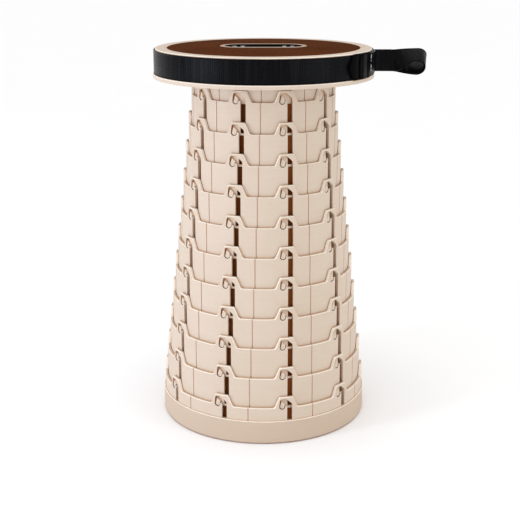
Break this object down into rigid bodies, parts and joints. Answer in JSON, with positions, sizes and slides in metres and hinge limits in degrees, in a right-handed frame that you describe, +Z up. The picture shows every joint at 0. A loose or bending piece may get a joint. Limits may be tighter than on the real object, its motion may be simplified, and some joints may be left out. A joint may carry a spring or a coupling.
{
  "type": "collapsible telescopic stool",
  "caption": "Round stool whose nested plastic rings draw out and drop into a flat base, with a leather-look seat pad, recessed grip and webbing carry strap.",
  "frame": {"origin": "on the stool's axis, on the floor, at the middle foot", "axes": "+Z up along the stool's axis, -Y towards the side that the picture shows, +X towards the hand loop"},
  "size_m": [0.3224, 0.2608, 0.45],
  "materials": {
    "beige_plastic": "satin moulded plastic, beige",
    "brown_leather": "smooth brown leather look",
    "black_webbing": "black woven webbing with fine ribs",
    "black_buckle": "black moulded plastic, slight sheen",
    "black_plastic": "black moulded plastic, matte",
    "steel_screw": "bright zinc-plated steel",
    "black_rubber": "matte black rubber"
  },
  "bodies": {
    "base": {"ring_11_base": "beige_plastic", "base_plate": "beige_plastic", "base_screws": "steel_screw", "foot_pads": "black_rubber"},
    "ring_10": {"ring_10": "beige_plastic"},
    "ring_09": {"ring_09": "beige_plastic"},
    "ring_08": {"ring_08": "beige_plastic"},
    "ring_07": {"ring_07": "beige_plastic"},
    "ring_06": {"ring_06": "beige_plastic"},
    "ring_05": {"ring_05": "beige_plastic"},
    "ring_04": {"ring_04": "beige_plastic"},
    "ring_03": {"ring_03": "beige_plastic"},
    "ring_02": {"ring_02": "beige_plastic"},
    "ring_01": {"ring_01": "beige_plastic"},
    "seat": {"seat_top": "beige_plastic", "seat_skirt": "beige_plastic", "seat_pad": "brown_leather", "ring_00_collar": "beige_plastic", "collar_flange": "beige_plastic", "seat_screws": "steel_screw", "handle_cup": "black_plastic", "cup_screws": "steel_screw", "handle_bezel": "beige_plastic", "handle_grip": "black_plastic", "handle_screws": "steel_screw", "side_strap": "black_webbing", "strap_buckle": "black_buckle", "strap_tail": "black_webbing"},
    "hand_loop": {"strap_loop": "black_webbing"}
  },
  "joints": [
    {"name": "ring_10_drop", "type": "slide", "parent": "base", "child": "ring_10", "axis": [0, 0, -1], "range_m": [0, 0.035]},
    {"name": "ring_09_drop", "type": "slide", "parent": "ring_10", "child": "ring_09", "axis": [0, 0, -1], "range_m": [0, 0.035]},
    {"name": "ring_08_drop", "type": "slide", "parent": "ring_09", "child": "ring_08", "axis": [0, 0, -1], "range_m": [0, 0.035]},
    {"name": "ring_07_drop", "type": "slide", "parent": "ring_08", "child": "ring_07", "axis": [0, 0, -1], "range_m": [0, 0.035]},
    {"name": "ring_06_drop", "type": "slide", "parent": "ring_07", "child": "ring_06", "axis": [0, 0, -1], "range_m": [0, 0.035]},
    {"name": "ring_05_drop", "type": "slide", "parent": "ring_06", "child": "ring_05", "axis": [0, 0, -1], "range_m": [0, 0.035]},
    {"name": "ring_04_drop", "type": "slide", "parent": "ring_05", "child": "ring_04", "axis": [0, 0, -1], "range_m": [0, 0.035]},
    {"name": "ring_03_drop", "type": "slide", "parent": "ring_04", "child": "ring_03", "axis": [0, 0, -1], "range_m": [0, 0.035]},
    {"name": "ring_02_drop", "type": "slide", "parent": "ring_03", "child": "ring_02", "axis": [0, 0, -1], "range_m": [0, 0.035]},
    {"name": "ring_01_drop", "type": "slide", "parent": "ring_02", "child": "ring_01", "axis": [0, 0, -1], "range_m": [0, 0.035]},
    {"name": "seat_drop", "type": "slide", "parent": "ring_01", "child": "seat", "axis": [0, 0, -1], "range_m": [0, 0.035]},
    {"name": "hand_loop_swing", "type": "hinge", "parent": "seat", "child": "hand_loop", "pos_m": [0.1315, 0, 0.432], "axis": [0, 0, 1], "range_deg": [-60, 75]}
  ]
}
